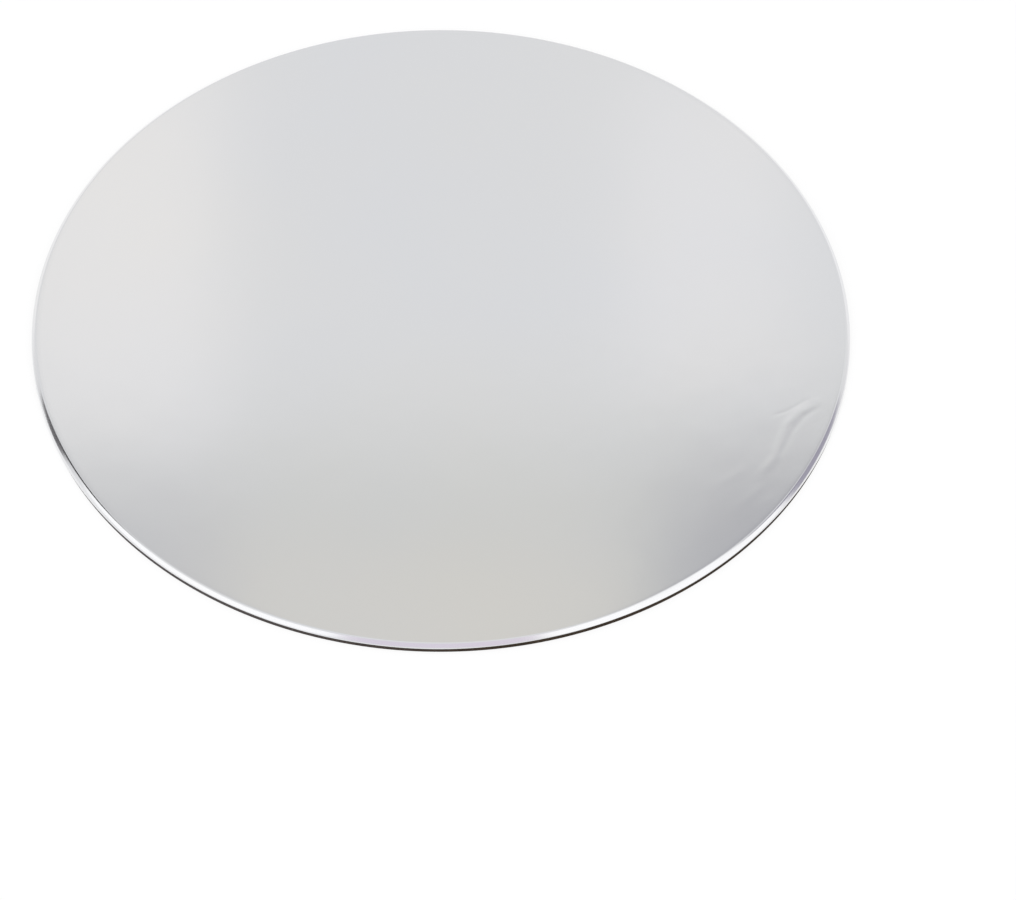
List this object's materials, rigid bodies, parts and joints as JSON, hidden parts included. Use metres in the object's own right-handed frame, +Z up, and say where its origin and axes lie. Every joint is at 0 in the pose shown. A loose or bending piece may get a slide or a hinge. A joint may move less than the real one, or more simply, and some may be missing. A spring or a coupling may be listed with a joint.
{
  "type": "cake board",
  "caption": "Flat round foil-faced card board with a drawn-down upper edge, for standing a cake on.",
  "frame": {"origin": "centre of the underside, on the surface that the board rests on", "axes": "+Z is up, out of the foil face; the board is round about Z, so X and Y are any two directions across it"},
  "size_m": [0.254, 0.254, 0.003],
  "materials": {
    "foil_card": "satin"
  },
  "bodies": {
    "root": {"cake_board": "foil_card"}
  },
  "joints": []
}
